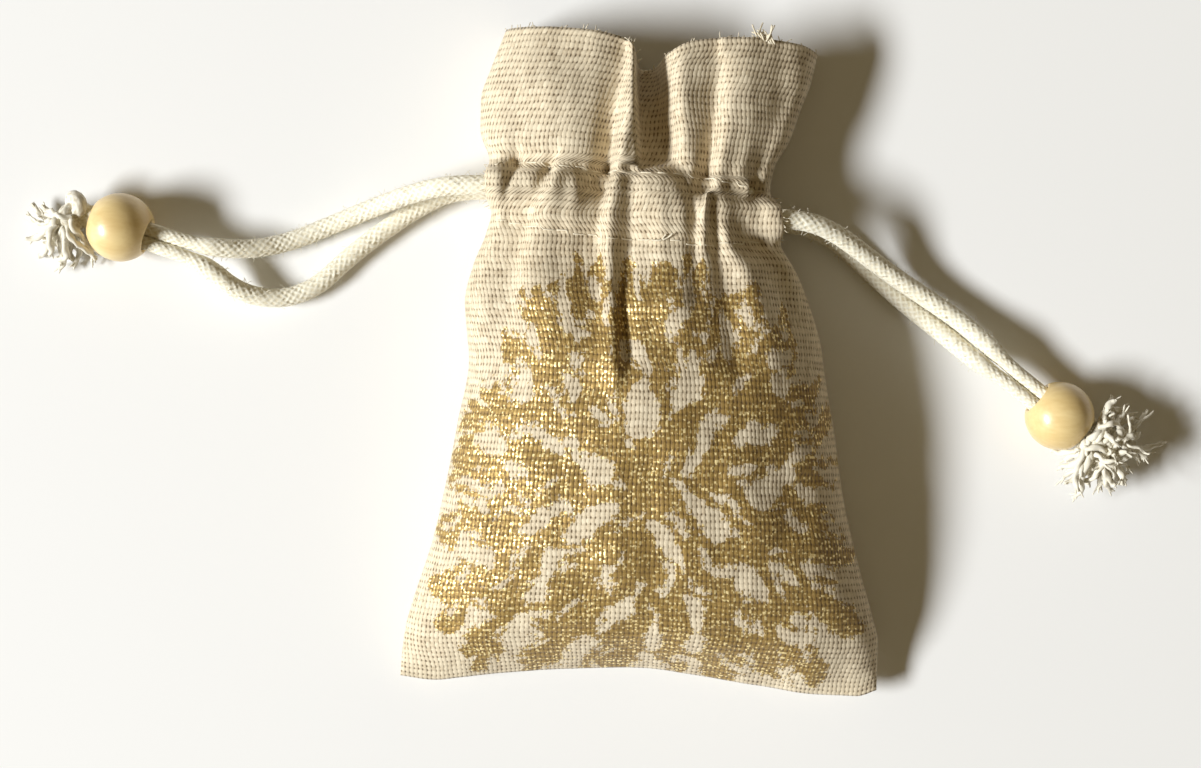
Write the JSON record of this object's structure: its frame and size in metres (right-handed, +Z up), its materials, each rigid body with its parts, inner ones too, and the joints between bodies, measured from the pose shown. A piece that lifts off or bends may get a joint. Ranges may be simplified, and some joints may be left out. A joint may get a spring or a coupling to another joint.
{
  "type": "fabric gift sack",
  "caption": "Small woven cotton drawstring gift sack lying on its back, with a printed front, a gathered neck, a flared mouth and cotton drawcords through wooden beads.",
  "frame": {"origin": "on the surface that the sack lies on, under the middle of its cloth, leaving out the free cords", "axes": "+X to the right seen from the printed front, +Y from the bottom fold to the mouth, +Z up out of the printed front"},
  "size_m": [0.2386, 0.1326, 0.0294],
  "materials": {
    "printed_cloth": "coarse plain weave with a metallic gold leaf print",
    "plain_cloth": "coarse undyed plain weave",
    "sewing_thread": "matt spun thread",
    "cotton_cord": "soft braided cotton",
    "cotton_fringe": "loose frayed cotton",
    "bead_wood": "pale turned wood, satin lacquer"
  },
  "bodies": {
    "sack": {"front_panel": "printed_cloth", "back_panel": "plain_cloth", "front_facing": "plain_cloth", "back_facing": "plain_cloth", "bottom_fold": "plain_cloth", "left_side_seam": "plain_cloth", "right_side_seam": "plain_cloth", "left_seam_stitches": "sewing_thread", "right_seam_stitches": "sewing_thread", "front_upper_channel_stitches": "sewing_thread", "front_lower_channel_stitches": "sewing_thread", "back_upper_channel_stitches": "sewing_thread", "back_lower_channel_stitches": "sewing_thread", "left_cord_far_bend": "cotton_cord", "right_cord_far_bend": "cotton_cord"},
    "left_drawcord": {"left_cord_front_run": "cotton_cord", "left_cord_back_run": "cotton_cord", "left_cord_upper_leg": "cotton_cord", "left_cord_lower_leg": "cotton_cord", "left_cord_bundle": "cotton_cord", "left_cord_knot": "cotton_cord", "left_frayed_ends": "cotton_fringe"},
    "right_drawcord": {"right_cord_front_run": "cotton_cord", "right_cord_back_run": "cotton_cord", "right_cord_upper_leg": "cotton_cord", "right_cord_lower_leg": "cotton_cord", "right_cord_bundle": "cotton_cord", "right_cord_knot": "cotton_cord", "right_frayed_ends": "cotton_fringe"},
    "left_bead": {"left_bead": "bead_wood"},
    "right_bead": {"right_bead": "bead_wood"}
  },
  "joints": [
    {"name": "left_drawcord_pull", "type": "slide", "parent": "sack", "child": "left_drawcord", "axis": [-1, 0, 0], "range_m": [0, 0.028]},
    {"name": "right_drawcord_pull", "type": "slide", "parent": "sack", "child": "right_drawcord", "axis": [1, 0, 0], "range_m": [0, 0.028]},
    {"name": "left_bead_slide", "type": "slide", "parent": "left_drawcord", "child": "left_bead", "axis": [0.96, -0.28, 0], "range_m": [0, 0.005]},
    {"name": "right_bead_slide", "type": "slide", "parent": "right_drawcord", "child": "right_bead", "axis": [-0.8, 0.6, 0], "range_m": [0, 0.005]}
  ]
}
